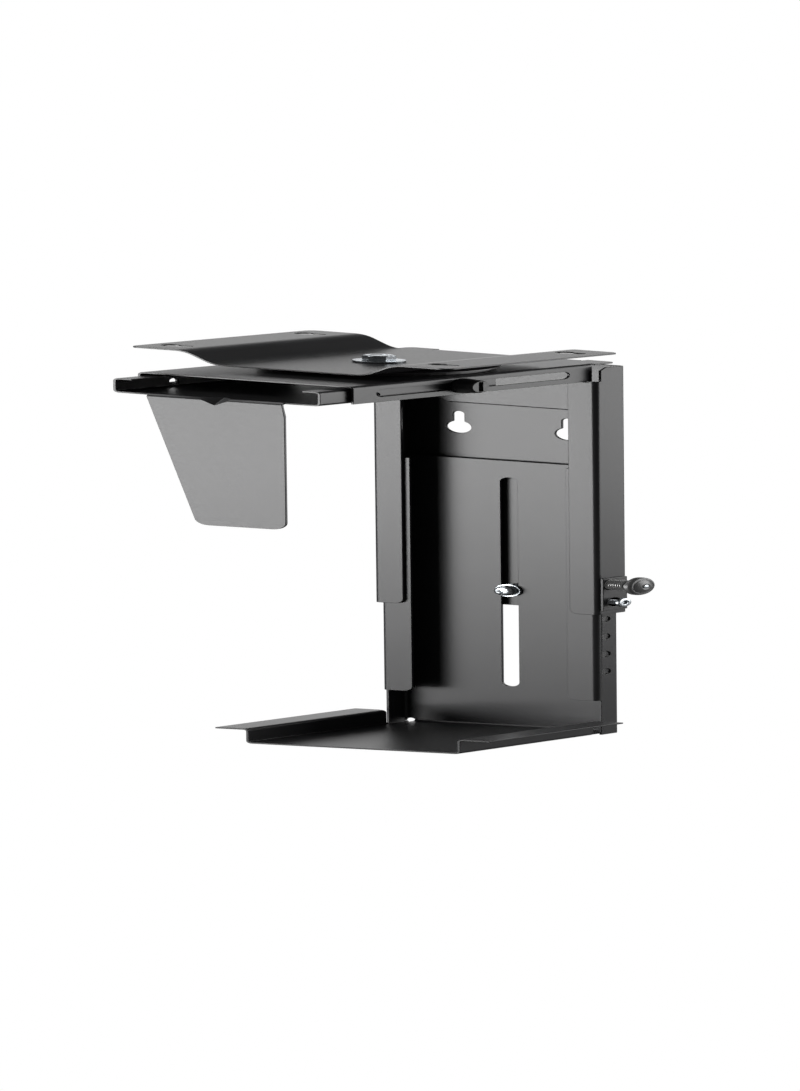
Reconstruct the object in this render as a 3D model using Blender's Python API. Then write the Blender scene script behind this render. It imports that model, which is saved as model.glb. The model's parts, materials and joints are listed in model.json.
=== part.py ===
"""Height and width adjustable holder that hangs a computer case under a desk.

Units are metres and +Z is up. The origin is on the swivel axis, in the plane of the desk's underside.
The column stands at +X, the side flap hangs at -X, and the locking plunger is pulled towards -Y.
"""

import math

import bmesh
import bpy
from mathutils import Matrix, Vector

# Sheet metal
SHEET = 0.0015
FOLD = 0.0022
GAP = 0.0003

# Bracket that is screwed to the desk
BRACKET_LENGTH = 0.1275
BRACKET_HALF_WIDTH = 0.0850
BRACKET_DEPTH = 0.0149
FLANGE_INNER = 0.0555
CHANNEL_HALF = 0.0400
BRACKET_FOLD = 0.0150
BRACKET_CORNER = 0.0055
DESK_HOLE_X = 0.0465
DESK_HOLE_Y = 0.0710
DESK_KEYHOLE = (0.0042, 0.0023, 0.0090)

# Swivel
PIVOT_RADIUS = 0.0040
PIVOT_BORE = PIVOT_RADIUS + 0.0004
SWIVEL_RADIUS = 0.0530
SWIVEL_THICK = 0.0016
GLIDE_RADIUS = 0.0505
GLIDE_THICK = 0.0018
PIVOT_HEAD = (0.0130, 0.0053)
PIVOT_NUT = (0.0130, 0.0078)
PIVOT_WASHER = (0.0117, 0.0015)
PIVOT_END = -0.0335

# Outer arm, open downwards
ARM_TOP = -0.0195
ARM_BOTTOM = -0.0390
ARM_HALF_WIDTH = 0.0569
ARM_FRONT = -0.0939
ARM_WALL_END = 0.0800
ARM_WEB_RELIEF = 0.0020
ARM_WEB_FOLD = 0.0920
ARM_WEB_END = 0.0982
ARM_WEB_CORNER = 0.0040
ARM_TAB_FACE = 0.0967
ARM_TAB_BOTTOM = -0.0778
ARM_TAB_HALF = 0.0400
ARM_TAB_NOTCH = 0.0010
ARM_TAB_CORNER = 0.0060
ARM_TAB_CHAMFER = 0.0011
ARM_SLOT_START = -0.0776
ARM_SLOT_END = 0.0632
ARM_SLOT_HEIGHT = 0.0082
ARM_SLOT_Z = -0.0295

# Sliding arm with its flap, nested in the outer arm
SLIDER_FRONT = -0.1162
SLIDER_BACK = 0.0120
SLIDER_BOTTOM = -0.0386
SLIDER_TOP = -0.0228
SLIDER_HALF_WIDTH = 0.0544
SLIDER_LIP_INNER = 0.0446
FLAP_TOP_HALF = 0.0355
FLAP_SIDE = 0.0368
FLAP_FOOT = -0.0040
FLAP_BOTTOM = -0.1765
FLAP_CORNER = 0.0075
FLAP_SHOULDER = -0.0520
GUSSET_REACH = 0.0075
GUSSET_HALF = 0.0098
SPARE_HOLE_DROP = 0.0022

# Width-locking thumb screws
WIDTH_SCREW_X = -0.0163
WIDTH_SCREW_BASE = 0.0082
WIDTH_SCREW_FACE = 0.0070
WIDTH_SCREW_LENGTH = 0.0100
WIDTH_SHANK = 0.0025
WIDTH_SCREW_TIP = 0.0040
DRIVER_SLOT = (0.0032, 0.0016)
SPARE_HOLE_X = -0.0745
SPARE_HOLE_RADIUS = 0.0028

# Upper column
COLUMN_BACK = 0.0985
COLUMN_DEPTH = 0.0225
COLUMN_HALF_WIDTH = 0.0620
COLUMN_TOP = -0.0231
COLUMN_BOTTOM = -0.3044
COLUMN_LIP_INNER = 0.0459
COLUMN_RELIEF = -0.0385
LIP_CORNER = 0.0050
WALL_KEYHOLE = (0.0068, 0.0030, 0.0147)
WALL_KEYHOLE_Y = 0.0301
WALL_KEYHOLE_Z = -0.1055

# Lower column and tray, one folded sheet
LOWER_BACK = 0.0947
LOWER_LIP_FACE = 0.0779
LOWER_HALF_WIDTH = 0.0597
LOWER_TOP = -0.1395
LOWER_LIP_BOTTOM = -0.4037
LOWER_LIP_INNER = 0.0430
WEB_BOTTOM = -0.4400
TRAY_BOTTOM = -0.4430
TRAY_FRONT = -0.0220
TRAY_WALL_END = 0.0778
TRAY_HALF_WIDTH = 0.0579
TRAY_WALL_HEIGHT = 0.0166
TRAY_FLANGE_EDGE = 0.0743
TRAY_FOLD = 0.0030
RELIEF_HOLE = (0.0556, -0.4410, 0.0025)
HEIGHT_SLOT_TOP = -0.1584
HEIGHT_SLOT_BOTTOM = -0.3964
HEIGHT_SLOT_WIDTH = 0.0094

# Height clamp
CLAMP_Z = -0.2866
CLAMP_SHANK = 0.0040
CLAMP_HEAD = (0.0056, 0.0042)
CLAMP_WASHER = (0.0071, 0.0014)
CLAMP_NUT_SHANK = 0.0054
CLAMP_NUT_FLANGE = (0.0070, 0.0016)
CROSS_RECESS = (0.0008, 0.0029, 0.0018)

# Index holes, lock plate and spring plunger
INDEX_X = 0.0850
INDEX_PITCH = 0.0200
INDEX_COUNT = 12
INDEX_TOP = -0.1507
INDEX_RADIUS = 0.0033
PLUNGER_Z = INDEX_TOP - 6 * INDEX_PITCH
LOCK_SCREW_X = INDEX_X + 0.0010
LOCK_SCREW_Z = INDEX_TOP - 7 * INDEX_PITCH
WINDOW = (0.0785, 0.0925, -0.2975, -0.2640)
LOCK_PLATE = (0.0777, 0.0962, -0.3000, -0.2628)
BARREL_RADIUS = 0.0058
BARREL_CHAMFER = 0.0007
BARREL_BORE = 0.0035
BARREL_MOUTH = 0.0007
BARREL_LENGTH = 0.0119
BARREL_INSET = 0.0010
PIN_RADIUS = 0.0021
PIN_INSET = 0.0004
PIN_COLLAR = (0.0032, 0.0012)
PLUNGER_STROKE = 0.0050
SPRING_RADIUS = 0.0029
SPRING_WIRE = 0.0003
SPRING_TURNS = 4
KNOB_NECK = 0.0062
KNOB_RADIUS = 0.0100
KNOB_SHOULDER = 0.0034
KNOB_RIM = 0.0014
KNOB_CROWN = 0.0042
LOCK_SCREW_SHANK = 0.0025
LOCK_SCREW_HEAD = (0.0049, 0.0022)
LOCK_SCREW_HOLE = 0.0049
LOCK_SCREW_LIFT = 0.0040
HEX_SOCKET = (0.0040, 0.0014)

ROUND = 40
SMALL_ROUND = 24


def clear_scene():
    for obj in list(bpy.data.objects):
        bpy.data.objects.remove(obj, do_unlink=True)


def material(name, colour, roughness, metallic):
    made = bpy.data.materials.new(name)
    made.use_nodes = True
    shader = made.node_tree.nodes["Principled BSDF"]
    shader.inputs["Base Color"].default_value = (*colour, 1.0)
    shader.inputs["Roughness"].default_value = roughness
    shader.inputs["Metallic"].default_value = metallic
    return made


def add_empty(name, location=(0, 0, 0), parent=None):
    empty = bpy.data.objects.new(name, None)
    bpy.context.scene.collection.objects.link(empty)
    empty.empty_display_size = 0.02
    empty.location = location
    empty.parent = parent
    return empty


def add_object(name, bm, look=None, parent=None, location=(0, 0, 0), rotation=(0, 0, 0)):
    mesh = bpy.data.meshes.new(name)
    bmesh.ops.recalc_face_normals(bm, faces=bm.faces)
    bm.to_mesh(mesh)
    bm.free()
    obj = bpy.data.objects.new(name, mesh)
    bpy.context.scene.collection.objects.link(obj)
    obj.parent = parent
    obj.location = location
    obj.rotation_euler = rotation
    if look:
        mesh.materials.append(look)
    return obj


# Outlines, as lists of two coordinates


def arc(centre, radius, start, end, steps):
    return [
        (
            centre[0] + radius * math.cos(start + (end - start) * i / steps),
            centre[1] + radius * math.sin(start + (end - start) * i / steps),
        )
        for i in range(steps + 1)
    ]


def circle(centre, radius, steps=SMALL_ROUND):
    return arc(centre, radius, 0, 2 * math.pi, steps)[:-1]


def rectangle(left, right, bottom, top):
    return [(left, bottom), (right, bottom), (right, top), (left, top)]


def rounded_path(corners, radius, steps=4):
    """An open path whose inner corners are arcs of one radius."""
    path = [corners[0]]
    for before, corner, after in zip(corners, corners[1:], corners[2:]):
        here = Vector(corner)
        back = (Vector(before) - here).normalized()
        ahead = (Vector(after) - here).normalized()
        half = back.angle(ahead) / 2
        reach = radius / math.tan(half)
        centre = here + (back + ahead).normalized() * (radius / math.sin(half))
        start = here + back * reach - centre
        turn = start.angle_signed(here + ahead * reach - centre)
        for i in range(steps + 1):
            spoke = start.copy()
            spoke.rotate(Matrix.Rotation(-turn * i / steps, 2))
            path.append(tuple(centre + spoke))
    return path + [corners[-1]]


def slot_outline(start, end, width, steps=12):
    """A slot with round ends between two ends of one straight line."""
    first, last = Vector(start), Vector(end)
    along = (last - first).normalized()
    first, last = first + along * width / 2, last - along * width / 2
    angle = math.atan2(along.y, along.x)
    quarter = math.pi / 2
    return arc(last, width / 2, angle - quarter, angle + quarter, steps) + arc(
        first, width / 2, angle + quarter, angle + 3 * quarter, steps
    )


def keyhole_outline(centre, size, angle):
    """A round hole with a narrower round-ended slot that leaves it at an angle."""
    hole, half_slot, reach = size
    opening = math.asin(half_slot / hole)
    points = arc((0, 0), hole, opening, 2 * math.pi - opening, SMALL_ROUND)
    points += arc((reach, 0), half_slot, -math.pi / 2, math.pi / 2, 10)
    turn = Matrix.Rotation(angle, 2)
    return [tuple(Vector(centre) + turn @ Vector(point)) for point in points]


def corner_outline(corner, inward, radius, steps=6):
    """What a round corner takes off a square one, with some spare outside it."""
    x, y = corner
    dx, dy = inward
    spare = 0.002
    centre = (x + dx * radius, y + dy * radius)
    curve = [
        (centre[0] - dx * radius * math.cos(a), centre[1] - dy * radius * math.sin(a))
        for a in (math.pi / 2 * i / steps for i in range(steps + 1))
    ]
    left, low = x - dx * spare, y - dy * spare
    return [(left, low), (left, centre[1])] + curve + [(centre[0], low)]


def hexagon(across_flats):
    return circle((0, 0), across_flats / math.sqrt(3), 6)


# Solids and sheets


def placed(axis, u, v, along):
    """A point from two coordinates across an axis and one along it."""
    return {"X": (along, u, v), "Y": (u, along, v), "Z": (u, v, along)}[axis]


def add_prism(bm, outline, axis, start, end):
    loops = [[bm.verts.new(placed(axis, u, v, s)) for u, v in outline] for s in (start, end)]
    bm.faces.new(loops[0])
    bm.faces.new(loops[1])
    count = len(outline)
    for i in range(count):
        j = (i + 1) % count
        bm.faces.new((loops[0][i], loops[0][j], loops[1][j], loops[1][i]))


def add_wedge(bm, x, z, reach, half):
    """A three-sided pyramid in the angle of a fold, reaching along +X, -Z and both ways along Y."""
    tips = [(x, -half, z), (x, half, z), (x + reach, 0, z), (x, 0, z - reach)]
    verts = [bm.verts.new(tip) for tip in tips]
    for corners in ((0, 1, 2), (0, 1, 3), (0, 2, 3), (1, 2, 3)):
        bm.faces.new([verts[i] for i in corners])


def add_turned(bm, profile, steps=ROUND):
    """A closed profile of radius and height turned round the Z axis."""
    verts = [bm.verts.new((r, 0, z)) for r, z in profile]
    edges = [bm.edges.new((a, b)) for a, b in zip(verts, verts[1:] + verts[:1])]
    bmesh.ops.spin(
        bm,
        geom=verts + edges,
        axis=(0, 0, 1),
        cent=(0, 0, 0),
        angle=2 * math.pi,
        steps=steps,
        use_merge=True,
    )
    bmesh.ops.remove_doubles(bm, verts=bm.verts, dist=1e-7)
    bmesh.ops.dissolve_degenerate(bm, edges=bm.edges, dist=1e-8)


def turned_object(name, profile, look, parent, location=(0, 0, 0), rotation=(0, 0, 0), steps=ROUND):
    bm = bmesh.new()
    add_turned(bm, profile, steps)
    obj = add_object(name, bm, look, parent, location, rotation)
    obj.data.shade_smooth()
    obj.data.set_sharp_from_angle(angle=math.radians(35))
    return obj


def add_strip(bm, section, axis, stations):
    """Sheet of no thickness: one section repeated at stations along an axis, and joined."""
    rows = [[bm.verts.new(placed(axis, u, v, s)) for u, v in section] for s in stations]
    for first, second in zip(rows, rows[1:]):
        for i in range(len(section) - 1):
            bm.faces.new((first[i], first[i + 1], second[i + 1], second[i]))
    return rows


def fold_on(bm, edge_row, steps_to):
    """More sheet from a row of points, moved by each step in turn."""
    rows = [edge_row]
    origin = [vert.co.copy() for vert in edge_row]
    for step in steps_to:
        row = [bm.verts.new(point + Vector(step)) for point in origin]
        before = rows[-1]
        for i in range(len(row) - 1):
            bm.faces.new((before[i], before[i + 1], row[i + 1], row[i]))
        rows.append(row)
    return rows


def sheet_object(name, bm, look, parent=None, location=(0, 0, 0)):
    obj = add_object(name, bm, look, parent, location)
    thicken = obj.modifiers.new("sheet", "SOLIDIFY")
    thicken.thickness = SHEET
    thicken.offset = 0
    thicken.use_even_offset = True
    obj.data.shade_smooth()
    obj.data.set_sharp_from_angle(angle=math.radians(35))
    return obj


def combine_mesh(obj, operation, name, bm):
    helper = add_object(f"{obj.name}_{name}", bm, parent=obj.parent)
    helper.location = obj.location
    helper.rotation_euler = obj.rotation_euler
    helper.hide_render = True
    helper.display_type = "WIRE"
    modifier = obj.modifiers.new(name, "BOOLEAN")
    modifier.operation = operation
    modifier.solver = "EXACT"
    modifier.object = helper


def combine(obj, operation, name, prisms):
    """A Boolean with a hidden helper made of prisms: (outline, axis, start, end)."""
    bm = bmesh.new()
    for outline, axis, start, end in prisms:
        add_prism(bm, outline, axis, start, end)
    combine_mesh(obj, operation, name, bm)


def cut(obj, name, prisms):
    combine(obj, "DIFFERENCE", name, prisms)


# Fastener shapes, standing on the Z axis


def washer(name, outer, bore, thick, look, parent, location, rotation=(0, 0, 0)):
    profile = [(bore, 0), (outer, 0), (outer, thick), (bore, thick)]
    return turned_object(name, profile, look, parent, location, rotation)


def hex_bolt(name, head, shank_radius, length, look, parent, location, rotation=(0, 0, 0)):
    """The head stands above Z = 0 and the shank runs down from it."""
    across, height = head
    profile = [
        (0, -length),
        (shank_radius - 0.0006, -length),
        (shank_radius, -length + 0.0006),
        (shank_radius, height / 2),
        (0, height / 2),
    ]
    obj = turned_object(name, profile, look, parent, location, rotation, SMALL_ROUND)
    combine(obj, "UNION", "head", [(hexagon(across), "Z", 0, height)])
    return obj


def hex_nut(name, size, bore, look, parent, location, rotation=(0, 0, 0)):
    across, height = size
    bm = bmesh.new()
    add_prism(bm, hexagon(across), "Z", 0, height)
    obj = add_object(name, bm, look, parent, location, rotation)
    cut(obj, "bore", [(circle((0, 0), bore), "Z", -0.001, height + 0.001)])
    return obj


# Sub-parts


def build_desk_bracket(look):
    flange = -SHEET / 2
    floor = -BRACKET_DEPTH + SHEET / 2
    section = rounded_path(
        [
            (-BRACKET_HALF_WIDTH, flange),
            (-FLANGE_INNER, flange),
            (-CHANNEL_HALF, floor),
            (CHANNEL_HALF, floor),
            (FLANGE_INNER, flange),
            (BRACKET_HALF_WIDTH, flange),
        ],
        BRACKET_FOLD,
        8,
    )
    half = BRACKET_LENGTH / 2
    bm = bmesh.new()
    add_strip(bm, section, "X", (-half, half))
    obj = sheet_object("desk_bracket", bm, look)
    through = (-0.01, 0.01)
    corners = []
    for sx, sy in ((-1, -1), (-1, 1), (1, -1), (1, 1)):
        corner = (sx * half, sy * BRACKET_HALF_WIDTH)
        corners.append((corner_outline(corner, (-sx, -sy), BRACKET_CORNER), "Z", *through))
    hole_y = DESK_KEYHOLE[2] / 2
    keyholes = [
        (keyhole_outline((x, y + hole_y), DESK_KEYHOLE, -math.pi / 2), "Z", *through)
        for x in (-DESK_HOLE_X, DESK_HOLE_X)
        for y in (-DESK_HOLE_Y, DESK_HOLE_Y)
    ]
    cut(obj, "corners", corners)
    cut(obj, "screw_keyholes", keyholes)
    cut(obj, "pivot_hole", [(circle((0, 0), PIVOT_BORE), "Z", -0.03, 0.0)])
    return obj


def build_pivot(zinc, steel, nylon):
    floor_top = -BRACKET_DEPTH + SHEET
    washer_z = floor_top + GAP
    head_z = washer_z + PIVOT_WASHER[1] + GAP
    hex_bolt("pivot_bolt", PIVOT_HEAD, PIVOT_RADIUS, head_z - PIVOT_END, zinc, None, (0, 0, head_z))
    washer("pivot_washer", PIVOT_WASHER[0], PIVOT_BORE, PIVOT_WASHER[1], zinc, None, (0, 0, washer_z))
    disc_z = -BRACKET_DEPTH - GAP - SWIVEL_THICK
    washer("swivel_disc", SWIVEL_RADIUS, PIVOT_BORE, SWIVEL_THICK, steel, None, (0, 0, disc_z))
    glide_z = disc_z - GAP - GLIDE_THICK
    washer("glide_disc", GLIDE_RADIUS, PIVOT_BORE, GLIDE_THICK, nylon, None, (0, 0, glide_z))
    under_z = ARM_TOP - SHEET - GAP - PIVOT_WASHER[1]
    washer("pivot_lower_washer", 0.0100, PIVOT_BORE, PIVOT_WASHER[1], zinc, None, (0, 0, under_z))
    nut_z = under_z - GAP - PIVOT_NUT[1]
    hex_nut("pivot_nut", PIVOT_NUT, PIVOT_BORE, zinc, None, (0, 0, nut_z))


def build_outer_arm(look, parent):
    top = ARM_TOP - SHEET / 2
    side = ARM_HALF_WIDTH - SHEET / 2
    section = rounded_path([(-side, ARM_BOTTOM), (-side, top), (side, top), (side, ARM_BOTTOM)], FOLD)
    notch = ARM_TAB_HALF + ARM_TAB_NOTCH
    tab_points = [(y, top) for y in (-notch, -ARM_TAB_HALF, ARM_TAB_HALF, notch)]
    section = section[:6] + tab_points + section[6:]
    bm = bmesh.new()
    walls = add_strip(bm, section, "X", (ARM_FRONT, ARM_WALL_END))
    to_fold = ARM_WEB_FOLD - ARM_WALL_END
    web = fold_on(bm, walls[1][5:11], [(ARM_WEB_RELIEF, 0, 0), (to_fold, 0, 0)])
    for side, outer, inner in ((-1, 0, 1), (1, 5, 4)):
        step = (0, side * (ARM_HALF_WIDTH - side * web[1][outer].co.y), 0)
        edge = fold_on(bm, [web[1][outer], web[2][outer]], [step])[1]
        fold_on(bm, [edge[1], web[2][outer], web[2][inner]], [(ARM_WEB_END - ARM_WEB_FOLD, 0, 0)])
    tab_x = ARM_TAB_FACE - SHEET / 2
    bend = rounded_path([(ARM_WEB_FOLD, top), (tab_x, top), (tab_x, ARM_TAB_BOTTOM)], FOLD)
    fold_on(bm, web[2][2:4], [(x - ARM_WEB_FOLD, 0, z - top) for x, z in bend[1:]])
    obj = sheet_object("outer_arm", bm, look, parent)
    slot = slot_outline((ARM_SLOT_START, ARM_SLOT_Z), (ARM_SLOT_END, ARM_SLOT_Z), ARM_SLOT_HEIGHT)
    cut(obj, "width_slots", [(slot, "Y", -0.07, 0.07)])
    low, half, size = ARM_TAB_BOTTOM, ARM_TAB_HALF, ARM_TAB_CORNER
    tab_corners = []
    web_corners = []
    for side in (-1, 1):
        edge = side * (half + size)
        corner = [(edge, low - size), (edge, low + 2 * size), (side * (half - 2 * size), low - size)]
        tab_corners.append((corner, "X", tab_x - 0.002, tab_x + 0.002))
        outline = corner_outline((ARM_WEB_END, side * ARM_HALF_WIDTH), (-1, -side), ARM_WEB_CORNER)
        web_corners.append((outline, "Z", top - 0.002, top + 0.002))
    cut(obj, "tab_corners", tab_corners)
    cut(obj, "web_corners", web_corners)
    front, size, spare = tab_x - SHEET / 2, ARM_TAB_CHAMFER, 0.001
    chamfer = [
        (front - spare, low + size + spare),
        (front + size + spare, low - spare),
        (front - spare, low - spare),
    ]
    cut(obj, "tab_chamfer", [(chamfer, "Y", -half - spare, half + spare)])
    cut(obj, "pivot_hole", [(circle((0, 0), PIVOT_BORE), "Z", -0.03, -0.01)])
    return obj


def press_gusset(obj):
    """The V-shaped stiffener pressed into the flap's fold from outside, one sheet thick."""
    corner = Vector((SLIDER_FRONT, SLIDER_BOTTOM + SHEET))
    slope = math.sqrt(2 / GUSSET_REACH**2 + 1 / GUSSET_HALF**2)
    for operation, size, shift in (
        ("UNION", 1 + SHEET * slope, 0.0013),
        ("DIFFERENCE", 1, -0.0020),
    ):
        reach = size * GUSSET_REACH - 2 * shift
        bm = bmesh.new()
        half = GUSSET_HALF * reach / GUSSET_REACH
        add_wedge(bm, corner.x + shift, corner.y - shift, reach, half)
        combine_mesh(obj, operation, f"gusset_{operation.lower()}", bm)


def build_sliding_arm(look, parent):
    web = SLIDER_BOTTOM + SHEET / 2
    lip = SLIDER_TOP - SHEET / 2
    side = SLIDER_HALF_WIDTH - SHEET / 2
    section = rounded_path(
        [
            (-SLIDER_LIP_INNER, lip),
            (-side, lip),
            (-side, web),
            (side, web),
            (side, lip),
            (SLIDER_LIP_INNER, lip),
        ],
        FOLD,
    )
    section = section[:11] + [(-FLAP_TOP_HALF, web), (FLAP_TOP_HALF, web)] + section[11:]
    bm = bmesh.new()
    rows = add_strip(bm, section, "X", (SLIDER_FRONT + FOLD, SLIDER_BACK))
    flap_x = SLIDER_FRONT + SHEET / 2
    start_x = SLIDER_FRONT + FOLD
    bend = rounded_path([(start_x + 0.001, web), (flap_x, web), (flap_x, web - 0.01)], FOLD)
    turns = [(x - start_x, 0, z - web) for x, z in bend[1:-1] if x < start_x]
    right, left = fold_on(bm, rows[0][11:13], turns)[-1]
    foot_z = FLAP_BOTTOM + FLAP_CORNER
    corner = (-FLAP_SIDE + FLAP_CORNER, foot_z)
    foot = [(-FLAP_SIDE, FLAP_SHOULDER)]
    foot += arc(corner, FLAP_CORNER, math.pi, 1.5 * math.pi, 6)
    foot += arc((-FLAP_FOOT, foot_z), FLAP_CORNER, -math.pi / 2, -math.pi / 12, 5)
    outline = [bm.verts.new((flap_x, y, z)) for y, z in foot]
    bm.faces.new([left, right, *outline])
    obj = sheet_object("sliding_arm", bm, look, parent)
    press_gusset(obj)
    holes = [
        (circle((WIDTH_SCREW_X, ARM_SLOT_Z), WIDTH_SHANK + GAP), "Y", -0.06, 0.06),
        (circle((SPARE_HOLE_X, ARM_SLOT_Z - SPARE_HOLE_DROP), SPARE_HOLE_RADIUS), "Y", -0.06, 0.06),
    ]
    cut(obj, "wall_holes", holes)
    return obj


def build_width_screw(name, side, plastic, arm):
    """A black thumb screw on one wall; side is -1 at the front and 1 at the rear."""
    base = ARM_HALF_WIDTH + GAP + 0.0002
    reach = base - SLIDER_HALF_WIDTH + SHEET + WIDTH_SCREW_TIP
    face = WIDTH_SCREW_LENGTH
    profile = [
        (0, -reach),
        (WIDTH_SHANK, -reach),
        (WIDTH_SHANK, 0),
        (WIDTH_SCREW_BASE, 0),
        (WIDTH_SCREW_BASE, 0.0012),
        (WIDTH_SCREW_FACE + 0.0004, 0.0060),
        (WIDTH_SCREW_FACE, face - 0.0010),
        (WIDTH_SCREW_FACE - 0.0010, face),
        (0, face),
    ]
    pivot = add_empty(f"{name}_axis", (WIDTH_SCREW_X, side * base, ARM_SLOT_Z), arm)
    turn = (-side * math.pi / 2, 0, 0)
    screw = turned_object(name, profile, plastic, pivot, rotation=turn, steps=32)
    width, depth = DRIVER_SLOT
    reach_across = WIDTH_SCREW_FACE - 0.0016
    driver = rectangle(-width / 2, width / 2, -reach_across, reach_across)
    cut(screw, "driver_slot", [(driver, "Z", face - depth, face + 0.002)])


def channel_section(back, lip_face, half_width, lip_inner):
    """Plan of a column channel, open towards -X, with lips that turn inwards."""
    web = back - SHEET / 2
    lip = lip_face + SHEET / 2
    side = half_width - SHEET / 2
    return rounded_path(
        [(lip, -lip_inner), (lip, -side), (web, -side), (web, side), (lip, side), (lip, lip_inner)],
        FOLD,
    )


def lip_corner_cuts(face, inner, bottom):
    return [
        (corner_outline((side * inner, bottom), (side, 1), LIP_CORNER), "X", face - 0.001, face + 0.0045)
        for side in (-1, 1)
    ]


def build_upper_column(look, parent):
    lip_face = COLUMN_BACK - COLUMN_DEPTH
    section = channel_section(COLUMN_BACK, lip_face, COLUMN_HALF_WIDTH, COLUMN_LIP_INNER)
    bm = bmesh.new()
    add_strip(bm, section, "Z", (COLUMN_BOTTOM, COLUMN_TOP))
    obj = sheet_object("upper_column", bm, look, parent)
    lip_top = ARM_BOTTOM - 0.0006
    wall_front = lip_face + SHEET / 2 + FOLD + 0.0006
    top = COLUMN_TOP + 0.001
    across = COLUMN_HALF_WIDTH + 0.001
    inside = ARM_HALF_WIDTH + 0.0006
    above_lips = rectangle(lip_face - 0.001, wall_front, COLUMN_RELIEF, top)
    under_arm = rectangle(lip_face - 0.002, wall_front, lip_top, top)
    cut(obj, "top_relief", [(above_lips, "Y", -across, across)])
    cut(obj, "lip_tops", [(under_arm, "Y", -inside, inside)])
    front = wall_front - 0.002
    chamfer = [(front, COLUMN_TOP - 0.0045), (wall_front + 0.0055, top), (front, top)]
    cut(obj, "top_chamfer", [(chamfer, "Y", -across, across)])
    cut(obj, "lip_corners", lip_corner_cuts(lip_face, COLUMN_LIP_INNER, COLUMN_BOTTOM))
    web = (COLUMN_BACK - 0.004, COLUMN_BACK + 0.002)
    keyholes = [
        (keyhole_outline((y, WALL_KEYHOLE_Z), WALL_KEYHOLE, math.pi / 2), "X", *web)
        for y in (-WALL_KEYHOLE_Y, WALL_KEYHOLE_Y)
    ]
    cut(obj, "wall_keyholes", keyholes)
    cut(obj, "clamp_hole", [(circle((0, CLAMP_Z), CLAMP_NUT_SHANK + GAP), "X", *web)])
    cut(obj, "lock_window", [(rectangle(*WINDOW), "Y", -across, -LOWER_HALF_WIDTH - GAP)])
    return obj


def build_lower_frame(look, parent):
    section = channel_section(LOWER_BACK, LOWER_LIP_FACE, LOWER_HALF_WIDTH, LOWER_LIP_INNER)
    web = LOWER_BACK - SHEET / 2
    floor = TRAY_BOTTOM + SHEET / 2
    wall = TRAY_HALF_WIDTH - SHEET / 2
    floor_half = wall - FOLD
    middle = section.index(next(p for p in section if p[1] > 0))
    section = section[:middle] + [(web, -floor_half), (web, floor_half)] + section[middle:]
    bm = bmesh.new()
    rows = add_strip(bm, section, "Z", (WEB_BOTTOM, LOWER_TOP))
    start = WEB_BOTTOM
    for wall_row in (rows[0][5:middle], rows[0][middle + 2 : -5]):
        fold_on(bm, wall_row, [(0, 0, TRAY_BOTTOM - start)])
    bend = rounded_path([(web, start + 0.002), (web, floor), (TRAY_FRONT, floor)], TRAY_FOLD)
    turns = [(x - web, 0, z - start) for x, z in bend[1:-1] if z < start - 1e-6]
    turns += [(x - web, 0, floor - start) for x in (TRAY_WALL_END, TRAY_FRONT)]
    base = fold_on(bm, rows[0][middle : middle + 2], turns)
    rest = TRAY_BOTTOM + TRAY_WALL_HEIGHT - SHEET / 2
    rise = rounded_path([(0, floor), (wall, floor), (wall, rest), (TRAY_FLANGE_EDGE, rest)], FOLD)
    for index, side in ((0, -1), (1, 1)):
        edge = [base[-2][index], base[-1][index]]
        fold_on(bm, edge, [(0, side * (y - floor_half), z - floor) for y, z in rise[2:]])
    obj = sheet_object("lower_frame", bm, look, parent)
    cut(obj, "lip_corners", lip_corner_cuts(LOWER_LIP_FACE, LOWER_LIP_INNER, LOWER_LIP_BOTTOM))
    lip_end = LOWER_LIP_FACE + SHEET / 2 + FOLD + 0.0002
    below_lips = rectangle(LOWER_LIP_FACE - 0.001, lip_end, start - 0.0005, LOWER_LIP_BOTTOM)
    across = LOWER_HALF_WIDTH + 0.001
    cut(obj, "lip_ends", [(below_lips, "Y", -across, across)])
    wall_foot = rectangle(LOWER_LIP_FACE - 0.001, lip_end, TRAY_BOTTOM - 0.001, start + 0.001)
    feet = [(wall_foot, "Y", side * (across - 0.0028), side * across) for side in (-1, 1)]
    cut(obj, "wall_feet", feet)
    slot = slot_outline((0, HEIGHT_SLOT_BOTTOM), (0, HEIGHT_SLOT_TOP), HEIGHT_SLOT_WIDTH)
    cut(obj, "height_slot", [(slot, "X", LOWER_BACK - 0.004, LOWER_BACK + 0.002)])
    hole_y, hole_z, hole_radius = RELIEF_HOLE
    relief = [
        (circle((side * hole_y, hole_z), hole_radius), "X", LOWER_BACK - 0.006, LOWER_BACK + 0.001)
        for side in (-1, 1)
    ]
    cut(obj, "corner_relief", relief)
    side_wall = (-LOWER_HALF_WIDTH - 0.001, -LOWER_HALF_WIDTH + 0.003)
    index = [
        (circle((INDEX_X, INDEX_TOP - i * INDEX_PITCH), INDEX_RADIUS, 16), "Y", *side_wall)
        for i in range(INDEX_COUNT)
    ]
    cut(obj, "index_holes", index)
    return obj


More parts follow.
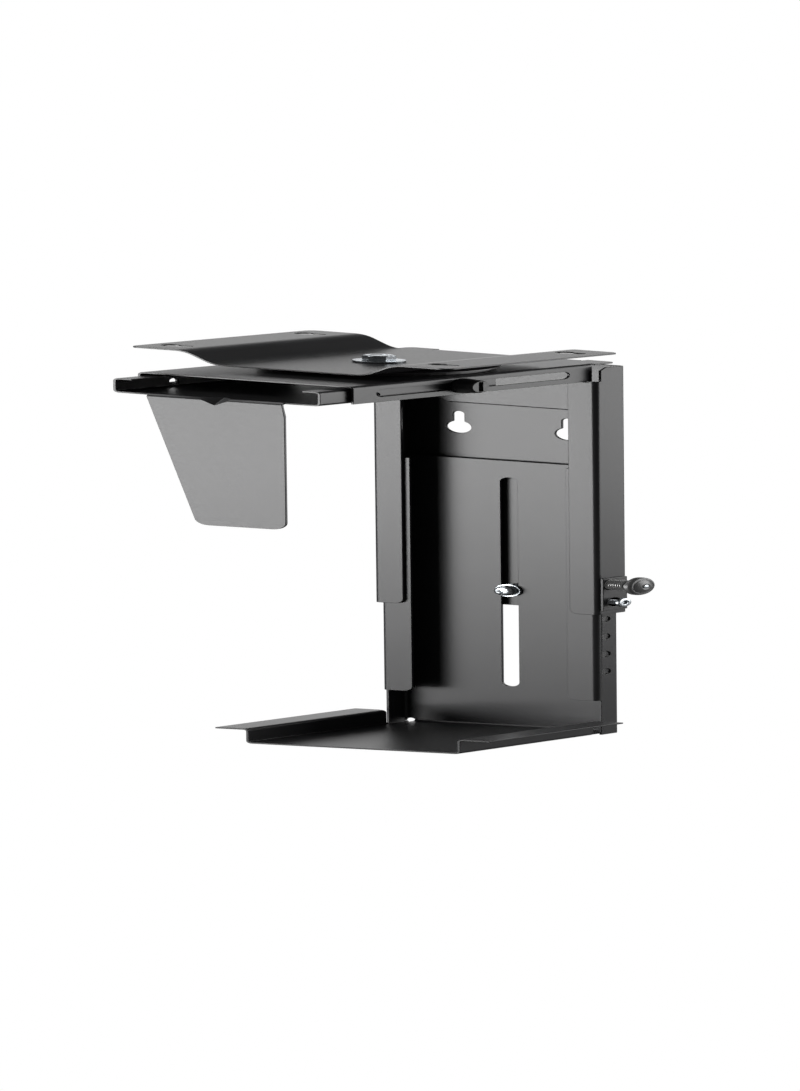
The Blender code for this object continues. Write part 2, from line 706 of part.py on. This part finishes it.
def build_height_clamp(zinc, parent):
    """Bolt, washer and press-in nut that pinch the two column webs together."""
    towards_front = (0, -math.pi / 2, 0)
    washer_x = LOWER_BACK - SHEET - GAP
    at_washer = (washer_x, 0, CLAMP_Z)
    outer, thick = CLAMP_WASHER
    bore = CLAMP_SHANK + 0.0004
    washer("clamp_washer", outer, bore, thick, zinc, parent, at_washer, towards_front)
    head_x = washer_x - thick - GAP
    nut_x = LOWER_BACK + GAP
    length = COLUMN_BACK - GAP - head_x
    radius, height = CLAMP_HEAD
    profile = [
        (0, -length),
        (CLAMP_SHANK, -length),
        (CLAMP_SHANK, 0),
        (radius, 0),
        (radius, height * 0.45),
        (radius * 0.86, height * 0.8),
        (radius * 0.55, height),
        (0, height),
    ]
    bolt = turned_object("clamp_bolt", profile, zinc, parent, (head_x, 0, CLAMP_Z), towards_front, 32)
    half, arm, depth = CROSS_RECESS
    cross = [
        (half, -arm), (half, -half), (arm, -half), (arm, half), (half, half), (half, arm),
        (-half, arm), (-half, half), (-arm, half), (-arm, -half), (-half, -half), (-half, -arm),
    ]
    cut(bolt, "cross_recess", [(cross, "Z", height - depth, height + 0.001)])
    flange_radius, flange = CLAMP_NUT_FLANGE
    depth = COLUMN_BACK - GAP - nut_x
    press_nut = [
        (bore, 0),
        (flange_radius, 0),
        (flange_radius, flange),
        (CLAMP_NUT_SHANK, flange),
        (CLAMP_NUT_SHANK, depth),
        (bore, depth),
    ]
    turned_object("clamp_nut", press_nut, zinc, parent, (nut_x, 0, CLAMP_Z), (0, math.pi / 2, 0), 32)


def build_lock(steel, zinc, plastic, spring_steel, parent):
    """Spring plunger and locking screw on the front wall of the column."""
    plate_y = -COLUMN_HALF_WIDTH - GAP
    left, right, bottom, top = LOCK_PLATE
    bm = bmesh.new()
    add_prism(bm, rectangle(left, right, bottom, top), "Y", plate_y - SHEET, plate_y)
    plate = add_object("lock_plate", bm, steel, parent)
    through = (plate_y - SHEET - 0.001, plate_y + 0.001)
    holes = [
        (circle((INDEX_X, PLUNGER_Z), BARREL_RADIUS + GAP), "Y", *through),
        (circle((LOCK_SCREW_X, LOCK_SCREW_Z), LOCK_SCREW_HOLE), "Y", *through),
    ]
    cut(plate, "holes", holes)

    outwards = (math.pi / 2, 0, 0)
    barrel_y = -LOWER_HALF_WIDTH - BARREL_INSET
    at_plunger = (INDEX_X, barrel_y, PLUNGER_Z)
    rim, end = PIN_RADIUS + GAP, BARREL_LENGTH
    cap = end - 0.0010
    barrel = [
        (rim, 0),
        (BARREL_RADIUS - BARREL_CHAMFER, 0),
        (BARREL_RADIUS, BARREL_CHAMFER),
        (BARREL_RADIUS, end - BARREL_CHAMFER),
        (BARREL_RADIUS - BARREL_CHAMFER, end),
        (rim, end),
        (rim, cap),
        (BARREL_BORE, cap),
        (BARREL_BORE, BARREL_MOUTH),
        (rim, BARREL_MOUTH),
    ]
    turned_object("plunger_barrel", barrel, zinc, parent, at_plunger, outwards, 32)

    slide = add_empty("plunger_axis", at_plunger, parent)
    tip = PIN_INSET - BARREL_INSET
    collar_radius, collar = PIN_COLLAR
    collar_start = BARREL_MOUTH + GAP
    pin = [
        (0, tip),
        (PIN_RADIUS - 0.0004, tip),
        (PIN_RADIUS, tip + 0.0004),
        (PIN_RADIUS, collar_start),
        (collar_radius, collar_start),
        (collar_radius, collar_start + collar),
        (PIN_RADIUS, collar_start + collar),
        (PIN_RADIUS, end + 0.0010),
        (0, end + 0.0010),
    ]
    turned_object("plunger_pin", pin, zinc, slide, rotation=outwards, steps=SMALL_ROUND)

    neck = end + 0.0010 + GAP
    shoulder = neck + KNOB_SHOULDER
    knob = [(0, neck), (KNOB_NECK, neck), (KNOB_NECK, neck + 0.0012), (KNOB_RADIUS, shoulder)]
    dome = [math.pi / 2 * i / 8 for i in range(9)]
    crown = shoulder + KNOB_RIM
    knob += [(KNOB_RADIUS * math.cos(a), crown + KNOB_CROWN * math.sin(a)) for a in dome[:-1]]
    knob += [(0, crown + KNOB_CROWN)]
    turned_object("plunger_knob", knob, plastic, slide, rotation=outwards)

    first_coil = collar_start + collar + PLUNGER_STROKE + 2 * GAP
    build_spring(spring_steel, parent, at_plunger, outwards, first_coil, cap - 2 * GAP)

    head_y = plate_y - SHEET - LOCK_SCREW_LIFT
    shank_end = -LOWER_HALF_WIDTH - PIN_INSET
    head_radius, head = LOCK_SCREW_HEAD
    screw = [
        (0, head_y - shank_end),
        (LOCK_SCREW_SHANK, head_y - shank_end),
        (LOCK_SCREW_SHANK, 0),
        (head_radius, 0),
        (head_radius, head * 0.7),
        (head_radius - 0.0008, head),
        (0, head),
    ]
    lock_screw = turned_object(
        "lock_screw", screw, zinc, parent, (LOCK_SCREW_X, head_y, LOCK_SCREW_Z), outwards, 32
    )
    across, depth = HEX_SOCKET
    cut(lock_screw, "socket", [(hexagon(across), "Z", head - depth, head + 0.001)])


def build_spring(look, parent, location, rotation, start, end):
    """Coil inside the barrel, at the length it has when the plunger is pulled out."""
    sides, steps = 6, 16
    bm = bmesh.new()
    rings = []
    for i in range(SPRING_TURNS * steps + 1):
        share = i / (SPRING_TURNS * steps)
        angle = 2 * math.pi * SPRING_TURNS * share
        height = start + (end - start) * share
        ring = []
        for j in range(sides):
            around = 2 * math.pi * j / sides
            radius = SPRING_RADIUS + SPRING_WIRE * math.cos(around)
            rise = height + SPRING_WIRE * math.sin(around)
            ring.append(bm.verts.new((radius * math.cos(angle), radius * math.sin(angle), rise)))
        rings.append(ring)
    for first, second in zip(rings, rings[1:]):
        for j in range(sides):
            k = (j + 1) % sides
            bm.faces.new((first[j], first[k], second[k], second[j]))
    bm.faces.new(rings[0])
    bm.faces.new(rings[-1])
    obj = add_object("plunger_spring", bm, look, parent, location, rotation)
    obj.data.shade_smooth()


def main():
    clear_scene()
    coated = material("black_coated_steel", (0.030, 0.030, 0.032), 0.38, 0.0)
    zinc = material("zinc_plated_steel", (0.72, 0.73, 0.74), 0.28, 1.0)
    plastic = material("black_plastic", (0.020, 0.020, 0.021), 0.32, 0.0)
    nylon = material("glide_nylon", (0.055, 0.055, 0.055), 0.55, 0.0)
    spring_steel = material("spring_steel", (0.42, 0.42, 0.43), 0.35, 1.0)

    build_desk_bracket(coated)
    build_pivot(zinc, coated, nylon)
    swivel = add_empty("swivel_axis")
    build_outer_arm(coated, swivel)
    build_upper_column(coated, swivel)
    build_height_clamp(zinc, swivel)
    build_lock(coated, zinc, plastic, spring_steel, swivel)
    width = add_empty("width_slide", parent=swivel)
    build_sliding_arm(coated, width)
    build_width_screw("width_screw_front", -1, plastic, width)
    build_width_screw("width_screw_rear", 1, plastic, width)
    height = add_empty("height_slide", parent=swivel)
    build_lower_frame(coated, height)


main()
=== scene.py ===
import json
import math

import bmesh
import bpy
import numpy as np
from mathutils import Matrix, Vector


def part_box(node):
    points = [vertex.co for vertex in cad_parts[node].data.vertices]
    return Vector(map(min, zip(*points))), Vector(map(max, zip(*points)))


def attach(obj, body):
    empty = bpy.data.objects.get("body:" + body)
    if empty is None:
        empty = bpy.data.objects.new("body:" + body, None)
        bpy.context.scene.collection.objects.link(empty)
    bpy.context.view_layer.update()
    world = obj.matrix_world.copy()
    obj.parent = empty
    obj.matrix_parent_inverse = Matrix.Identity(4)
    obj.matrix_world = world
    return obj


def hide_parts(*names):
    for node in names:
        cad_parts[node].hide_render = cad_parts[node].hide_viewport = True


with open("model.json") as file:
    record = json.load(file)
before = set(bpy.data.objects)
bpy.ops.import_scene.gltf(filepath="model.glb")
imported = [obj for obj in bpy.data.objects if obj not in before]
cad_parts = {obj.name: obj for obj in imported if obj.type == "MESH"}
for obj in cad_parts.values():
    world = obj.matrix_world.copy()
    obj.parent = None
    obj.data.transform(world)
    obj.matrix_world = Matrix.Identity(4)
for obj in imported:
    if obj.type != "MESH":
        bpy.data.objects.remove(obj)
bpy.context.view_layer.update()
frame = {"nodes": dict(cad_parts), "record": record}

# The view. The picture is squashed in height: SQUASH is how much more an
# upright length shrinks in it than a level one.
AIM = Vector((0.0, -0.0100, -0.2176))
AZIMUTH, ELEVATION, ROLL = -53.0, 12.44, -0.29
DISTANCE = 12.74
LENS = 383.8
SQUASH = 2.525

# The edges that a press, a coat or a tool leaves round: radius and segments.
CUT_SHEET = (0.00028, 2)
EDGE_ROUNDING = {
    "desk_bracket": CUT_SHEET,
    "outer_arm": CUT_SHEET,
    "sliding_arm": CUT_SHEET,
    "lower_frame": CUT_SHEET,
    "upper_column": (0.0005, 3),
    "lock_plate": (0.0007, 3),
    "swivel_disc": (0.0003, 2),
    "clamp_bolt": (0.00015, 2),
    "width_screw_front": (0.00012, 2),
    "width_screw_rear": (0.00012, 2),
    "clamp_washer": (0.0002, 2),
    "pivot_washer": (0.0002, 2),
    "pivot_lower_washer": (0.0002, 2),
    "pivot_nut": (0.0002, 2),
    "clamp_nut": (0.0002, 2),
}
SAME_POINT = 0.000004
FLAT_ANGLE = math.radians(0.5)
EDGE_ANGLE = math.radians(40)
CREASE_ANGLE = math.radians(28)

# Threads: pitch, depth and how many steps draw one turn.
COARSE_PITCH, FINE_PITCH = 0.00125, 0.0008
THREAD_DEPTH, BARREL_THREAD_DEPTH = 0.0004, 0.0005
ROWS_PER_TURN = 8
TURN_STEPS = 72

# The studio: how bright the surroundings light the object against white, and the floor.
SURROUNDINGS = 0.10
FLOOR_SHADE = 0.16
FLOOR_LEVEL, FLOOR_HALF = -0.75, 60.0


# Materials: every finish has noise in its colour, its gloss and its height.


def node(tree, kind):
    return tree.nodes.new(kind)


def noise(tree, place, scale, detail):
    made = node(tree, "ShaderNodeTexNoise")
    made.inputs["Scale"].default_value = scale
    made.inputs["Detail"].default_value = detail
    tree.links.new(place, made.inputs["Vector"])
    return made.outputs["Fac"]


def ranged(tree, value, low, high):
    """The middle of a noise spread over low to high."""
    made = node(tree, "ShaderNodeMapRange")
    limits = (("From Min", 0.3), ("From Max", 0.7), ("To Min", low), ("To Max", high))
    for name, number in limits:
        made.inputs[name].default_value = number
    tree.links.new(value, made.inputs["Value"])
    return made.outputs["Result"]


def coloured(tree, value, dark, light):
    made = node(tree, "ShaderNodeValToRGB")
    for stop, position, shade in zip(made.color_ramp.elements, (0.3, 0.7), (dark, light)):
        stop.position = position
        stop.color = (*shade, 1)
    tree.links.new(value, made.inputs["Fac"])
    return made.outputs["Color"]


def plain_material(name, metallic=0.0, specular=0.5):
    made = bpy.data.materials.new(name)
    made.use_nodes = True
    shader = made.node_tree.nodes["Principled BSDF"]
    shader.inputs["Metallic"].default_value = metallic
    shader.inputs["Specular IOR Level"].default_value = specular
    return made, made.node_tree, shader


def finish(name, metallic, colour, gloss, relief=(), specular=0.5):
    """A procedural finish, with each part of it led by its noise's scale and detail.

    colour goes on to its dark and light, gloss to its low and high roughness, and each row
    of relief to a depth in metres.
    """
    made, tree, shader = plain_material(name, metallic, specular)
    place = node(tree, "ShaderNodeTexCoord").outputs["Object"]
    scale, detail, dark, light = colour
    shade = coloured(tree, noise(tree, place, scale, detail), dark, light)
    tree.links.new(shade, shader.inputs["Base Color"])
    scale, detail, low, high = gloss
    roughness = ranged(tree, noise(tree, place, scale, detail), low, high)
    tree.links.new(roughness, shader.inputs["Roughness"])
    normal = None
    for scale, detail, depth in relief:
        bump = node(tree, "ShaderNodeBump")
        bump.inputs["Strength"].default_value = 1.0
        bump.inputs["Distance"].default_value = depth
        tree.links.new(noise(tree, place, scale, detail), bump.inputs["Height"])
        if normal:
            tree.links.new(normal, bump.inputs["Normal"])
        normal = bump.outputs["Normal"]
    if normal:
        tree.links.new(normal, shader.inputs["Normal"])
    return made


def moulded_plastic(name, shade=1.0, specular=0.5):
    # shade scales the plastic's colour; above 1 it paints the plastic lighter, as a painted
    # highlight.
    colour = (90, 3, (0.020 * shade,) * 3, (0.030 * shade,) * 3)
    gloss = (300, 4, 0.34, 0.42)
    return finish(name, 0.0, colour, gloss, [(900, 2, 0.000002)], specular)


# The powder coat is semi-gloss: fine orange peel over a slow unevenness.
FINISHES = {
    "black_coated_steel": finish(
        "black_powder_coat",
        0.0,
        (14, 2, (0.020, 0.020, 0.021), (0.028, 0.028, 0.030)),
        (700, 4, 0.31, 0.35),
        [(700, 2, 0.000009), (3000, 1, 0.0000012)],
    ),
    "zinc_plated_steel": finish(
        "zinc_plate",
        1.0,
        (160, 4, (0.44, 0.47, 0.49), (0.60, 0.63, 0.66)),
        (700, 4, 0.24, 0.34),
        [(2500, 2, 0.0000015)],
    ),
    "black_plastic": moulded_plastic("black_moulded_plastic"),
    "glide_nylon": moulded_plastic("black_moulded_plastic"),
    # The knob is the black plastic painted four times lighter: a painted highlight standing in
    # for its lit face.
    "knob": moulded_plastic("knob_plastic_painted_highlight", 4.0, 1.0),
    "spring_steel": finish(
        "spring_wire",
        1.0,
        (500, 3, (0.36, 0.35, 0.34), (0.55, 0.54, 0.52)),
        (900, 3, 0.25, 0.4),
    ),
    # The barrel's zinc thread is painted lighter than the zinc plate: a painted highlight along
    # the thread.
    "thread_painted_highlight": finish(
        "thread_painted_highlight",
        1.0,
        (300, 4, (0.52, 0.52, 0.52), (0.72, 0.72, 0.71)),
        (900, 3, 0.22, 0.38),
        [(2600, 2, 0.000003)],
    ),
}


def paint(obj, name):
    obj.data.materials.clear()
    obj.data.materials.append(FINISHES[name])


# Pieces of the frame: painted by their slot, with soft edges and smooth bends.


def round_edges(obj, width, segments):
    mesh = obj.data
    mesh.shade_smooth()
    for name in ("custom_normal", "sharp_edge"):
        if name in mesh.attributes:
            mesh.attributes.remove(mesh.attributes[name])
    joined = obj.modifiers.new("joined_faces", "WELD")
    joined.merge_threshold = SAME_POINT
    flat = obj.modifiers.new("flat_faces", "DECIMATE")
    flat.decimate_type = "DISSOLVE"
    flat.angle_limit = FLAT_ANGLE
    edge = obj.modifiers.new("rounded_edges", "BEVEL")
    edge.width = width
    edge.segments = segments
    edge.limit_method = "ANGLE"
    edge.angle_limit = EDGE_ANGLE
    edge.use_clamp_overlap = False
    even = obj.modifiers.new("even_shading", "WEIGHTED_NORMAL")
    even.weight = 100


def dress_frame():
    slots = {row["node"]: row["material_slot"] for row in frame["record"]["subparts"]}
    for name, obj in frame["nodes"].items():
        paint(obj, slots[name])
    for name, (width, segments) in EDGE_ROUNDING.items():
        round_edges(frame["nodes"][name], width, segments)


# Turned fasteners. A row of a section is (radius, height, apothem, thread depth): the
# apothem flattens the row to a hexagon, and the depth cuts a thread into it.


def plain(*points):
    return [(radius, height, 0, 0) for radius, height in points]


def hexagon(apothem, *points):
    return [(radius, height, apothem, 0) for radius, height in points]


def threaded(radius, start, end, depth, pitch):
    count = max(2, round((end - start) / pitch * ROWS_PER_TURN))
    step = (end - start) / count
    return [(radius, start + i * step, 0, depth) for i in range(count + 1)]


def section_point(row, angle, pitch):
    radius, height, apothem, depth = row
    if apothem:
        radius = min(radius, apothem / math.cos(angle % (math.pi / 3) - math.pi / 6))
    turn = height / pitch - angle / (2 * math.pi)
    radius -= depth * (0.5 + 0.5 * math.cos(2 * math.pi * turn))
    return radius * math.cos(angle), radius * math.sin(angle), height


def turned(name, section, slot, body, place, axis, pitch=COARSE_PITCH, look=None):
    """Turns a section about an axis through place, and lets the piece ride on a body."""
    bm = bmesh.new()
    angles = [2 * math.pi * i / TURN_STEPS for i in range(TURN_STEPS)]
    grid = []
    for angle in angles:
        grid.append([bm.verts.new(section_point(row, angle, pitch)) for row in section])
    for here, there in zip(grid, grid[1:] + grid[:1]):
        for k in range(len(section) - 1):
            bm.faces.new((here[k], there[k], there[k + 1], here[k + 1]))
    bmesh.ops.remove_doubles(bm, verts=bm.verts, dist=1e-7)
    bmesh.ops.dissolve_degenerate(bm, edges=bm.edges, dist=1e-8)
    bmesh.ops.recalc_face_normals(bm, faces=bm.faces)
    mesh = bpy.data.meshes.new(name)
    bm.to_mesh(mesh)
    bm.free()
    mesh.shade_smooth()
    mesh.set_sharp_from_angle(angle=CREASE_ANGLE)
    obj = bpy.data.objects.new(name, mesh)
    bpy.context.scene.collection.objects.link(obj)
    obj.location = place
    obj.rotation_euler = Vector(axis).to_track_quat("Z", "Y").to_euler()
    paint(obj, look or slot)
    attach(obj, body)
    return obj


def box_of(name):
    low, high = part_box(name)
    return (low + high) / 2, low, high


def pivot_bolt():
    """M8 hex bolt with a dished head: its shank hangs from the underside of the head."""
    middle, low, high = box_of("pivot_bolt")
    head, apothem, corner, shank = 0.0053, 0.0065, 0.00751, 0.0040
    tip, thread_end, neck = 0.0006, -0.0060, -0.0055
    crown, dish, dish_floor = 0.0057, 0.0040, head - 0.0003
    length = high.z - low.z - head
    section = plain((0, -length), (shank - tip, -length), (shank, -length + tip))
    section += threaded(shank, -length + 0.0007, thread_end, THREAD_DEPTH, COARSE_PITCH)
    section += plain((shank, neck), (shank, 0))
    section += hexagon(
        apothem,
        (corner, 0),
        (corner, 0.00005),
        (corner, head - 0.0009),
        (corner - 0.0005, head - 0.0006),
        (corner - 0.0010, head - 0.0003),
    )
    section += plain((crown + 0.0003, head - 0.00004), (crown, head), (dish, head))
    section += plain((dish - 0.0003, dish_floor), (0, dish_floor))
    place = (middle.x, middle.y, high.z - head)
    bolt = turned("pivot_hex_bolt", section, "zinc_plated_steel", "desk_mount", place, (0, 0, 1))
    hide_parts("pivot_bolt")


def plunger_barrel():
    """Tube that is threaded outside and turned in at both ends."""
    middle, low, high = box_of("plunger_barrel")
    radius, length = 0.0058, high.y - low.y
    mouth, bore, cap = 0.0024, 0.0035, 0.0010
    chamfer, runout = 0.0007, 0.0008
    foot = (bore, chamfer)
    section = plain(foot, (mouth, chamfer), (mouth, 0), (radius - chamfer, 0))
    section += plain((radius - 0.0001, 0.0006))
    section += threaded(radius, runout, length - runout, BARREL_THREAD_DEPTH, COARSE_PITCH)
    section += plain((radius - chamfer, length), (mouth, length), (mouth, length - cap))
    section += plain((bore, length - cap), foot)
    place = (middle.x, high.y, middle.z)
    # The barrel wears the zinc painted lighter instead of its zinc plate, a painted highlight.
    barrel = turned(
        "plunger_threaded_barrel",
        section,
        "zinc_plated_steel",
        "swivel_frame",
        place,
        (0, -1, 0),
        look="thread_painted_highlight",
    )
    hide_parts("plunger_barrel")


def pull_knob():
    """Mushroom knob: a neck, a flared shoulder, a rolled rim and a domed face with a rivet."""
    middle, low, high = box_of("plunger_knob")
    size, depth = (high.x - low.x) / 2, high.y - low.y
    neck, neck_end, shoulder, rim = 0.0062, 0.0012, 0.0034, 0.0014
    face, brow = size * 0.80, depth - 0.0021
    groove, domed = brow - 0.0002, face - 0.0007
    rivet, dimple = 0.0021, 0.0032
    hollow, seat = depth - 0.0007, depth - 0.0010
    quarter = [math.pi / 2 * i / 8 for i in range(9)]

    section = plain((0, 0), (neck - 0.0003, 0), (neck, 0.0003), (neck, neck_end - 0.0002))
    for angle in quarter:
        flare = (1 - math.cos(angle)) ** 0.8
        rise = (shoulder - neck_end) * math.sin(angle)
        section += plain((neck + (size - neck) * flare, neck_end + rise))
    for angle in quarter:
        rise = (brow - shoulder - rim) * math.sin(angle)
        section += plain((face + (size - face) * math.cos(angle), shoulder + rim + rise))
    section += plain((face - 0.0002, groove), (face - 0.0005, groove), (domed, brow))
    for i in range(1, 9):
        radius = domed + (dimple - domed) * i / 8
        section += plain((radius, depth - (depth - brow) * (radius / domed) ** 2))
    section += plain((rivet + 0.0003, hollow), (rivet, hollow))
    section += plain((rivet, seat), (0, seat))
    place = (middle.x, high.y, middle.z)
    outward = (0, -1, 0)
    # The knob wears the black plastic painted lighter, a painted highlight.
    knob = turned("pull_knob", section, "black_plastic", "plunger", place, outward, look="knob")
    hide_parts("plunger_knob")

    section = plain((0, seat), (rivet - 0.0001, seat), (rivet - 0.0001, depth - 0.0003))
    section += plain((rivet * 0.7, depth - 0.00008), (0, depth))
    turned("knob_rivet", section, "zinc_plated_steel", "plunger", place, outward)


def lock_screw():
    """Small screw with a round head and a hexagon socket."""
    middle, low, high = box_of("lock_screw")
    head, radius, shank = 0.0022, 0.0049, 0.0025
    mouth, socket, socket_corner = 0.0025, 0.0020, 0.00232
    socket_floor = head - 0.0014
    length = high.y - low.y - head
    section = plain((0, -length), (shank - 0.0005, -length))
    section += threaded(shank, -length + 0.0003, -0.0002, THREAD_DEPTH, FINE_PITCH)
    section += plain((shank, 0), (radius - 0.0004, 0), (radius, 0.0004))
    section += plain((radius, head - 0.0006), (radius - 0.0003, head - 0.0002))
    section += plain((radius - 0.0008, head), (mouth + 0.0002, head), (mouth, head - 0.0002))
    section += hexagon(socket, (socket_corner, head - 0.0003), (socket_corner, socket_floor))
    section += plain((0, socket_floor))
    place = (middle.x, low.y + head, middle.z)
    screw = turned(
        "socket_lock_screw",
        section,
        "zinc_plated_steel",
        "swivel_frame",
        place,
        (0, -1, 0),
        FINE_PITCH,
    )
    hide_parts("lock_screw")


# Studio: the floor and the surroundings are white behind the object, and dim where they
# light it, so that the light panels alone shape the black sheets.


def seen_only(tree, lit, seen, output):
    """The first shader lights the object, and the second is what shows behind it."""
    path = node(tree, "ShaderNodeLightPath")
    mix = node(tree, "ShaderNodeMixShader")
    tree.links.new(path.outputs["Is Camera Ray"], mix.inputs["Fac"])
    tree.links.new(lit, mix.inputs[1])
    tree.links.new(seen, mix.inputs[2])
    tree.links.new(mix.outputs[0], output.inputs["Surface"])


def surroundings():
    world = bpy.data.worlds.new("studio")
    bpy.context.scene.world = world
    world.use_nodes = True
    tree = world.node_tree
    dim = tree.nodes["Background"]
    white = node(tree, "ShaderNodeBackground")
    for shader, strength in ((dim, SURROUNDINGS), (white, 1.0)):
        shader.inputs["Color"].default_value = (1, 1, 1, 1)
        shader.inputs["Strength"].default_value = strength
    seen_only(tree, dim.outputs[0], white.outputs[0], tree.nodes["World Output"])


def floor():
    half, level = FLOOR_HALF, FLOOR_LEVEL
    turns = ((-1, -1), (1, -1), (1, 1), (-1, 1))
    corners = [(half * x, half * y, level) for x, y in turns]
    mesh = bpy.data.meshes.new("floor")
    mesh.from_pydata(corners, [], [(0, 1, 2, 3)])
    obj = bpy.data.objects.new("floor", mesh)
    bpy.context.scene.collection.objects.link(obj)
    made, tree, shader = plain_material("pale_floor")
    shader.inputs["Base Color"].default_value = (FLOOR_SHADE, FLOOR_SHADE, FLOOR_SHADE, 1)
    shader.inputs["Roughness"].default_value = 0.9
    glow = node(tree, "ShaderNodeEmission")
    glow.inputs["Strength"].default_value = 1.0
    seen_only(tree, shader.outputs[0], glow.outputs[0], tree.nodes["Material Output"])
    mesh.materials.append(made)


def softbox(name, azimuth, distance, low, high, width, glow, aim=None):
    """A light panel that faces the column, upright unless aim is a height to tilt towards.

    glow is its brightness against white.
    """
    angle = math.radians(azimuth)
    across = Vector((math.sin(angle), -math.cos(angle), 0)) * distance
    place = across + Vector((0, 0, (low + high) / 2))
    data = bpy.data.lights.new(name, "AREA")
    data.shape = "RECTANGLE"
    data.size, data.size_y = width, high - low
    data.energy = glow * math.pi * width * (high - low)
    light = bpy.data.objects.new(name, data)
    bpy.context.scene.collection.objects.link(light)
    light.location = place
    facing = across if aim is None else place - Vector((0, 0, aim))
    light.rotation_euler = facing.to_track_quat("Z", "Y").to_euler()
    light.visible_camera = False


def camera():
    """Leans the camera's level axis in depth, which stretches the picture's width by SQUASH."""
    azimuth, elevation = math.radians(AZIMUTH), math.radians(ELEVATION)
    level = math.cos(elevation)
    back = Vector((math.sin(azimuth) * level, -math.cos(azimuth) * level, math.sin(elevation)))
    upright = back.to_track_quat("Z", "Y").to_matrix()
    facing = upright @ Matrix.Rotation(math.radians(ROLL), 3, "Z")
    lean = math.acos(1 / SQUASH)
    sheared = np.array([[math.cos(lean), 0, 0], [0, 1, 0], [math.sin(lean), 0, 1]])
    outer, sizes, inner = np.linalg.svd(sheared)
    if np.linalg.det(outer) < 0:
        outer, inner = -outer, -inner
    stand = bpy.data.objects.new("camera_stand", None)
    stand.rotation_mode = "QUATERNION"
    stand.rotation_quaternion = (facing @ Matrix(outer)).to_quaternion()
    stand.scale = sizes
    stand.location = AIM + back * DISTANCE
    data = bpy.data.cameras.new("camera")
    data.lens, data.sensor_width = LENS, 36.0
    data.clip_start, data.clip_end = 0.1, 200.0
    made = bpy.data.objects.new("camera", data)
    made.rotation_mode = "QUATERNION"
    made.rotation_quaternion = Matrix(inner).to_quaternion()
    for obj in (stand, made):
        bpy.context.scene.collection.objects.link(obj)
    made.parent = stand
    bpy.context.scene.camera = made


dress_frame()
pivot_bolt()
plunger_barrel()
pull_knob()
lock_screw()
camera()
surroundings()
floor()
softbox("left_box", azimuth=-127, distance=1.6, low=-0.63, high=-0.14, width=1.3, glow=11.0)
softbox(
    "high_box", azimuth=-160, distance=1.5, low=0.9, high=2.5, width=1.2, glow=2.5, aim=-0.2
)
softbox("right_box", azimuth=50, distance=1.8, low=-0.60, high=0.9, width=1.6, glow=3.4)
softbox("back_box", azimuth=135, distance=3.0, low=-0.7, high=1.2, width=4.0, glow=1.3)
bpy.context.scene.view_settings.view_transform = "Standard"
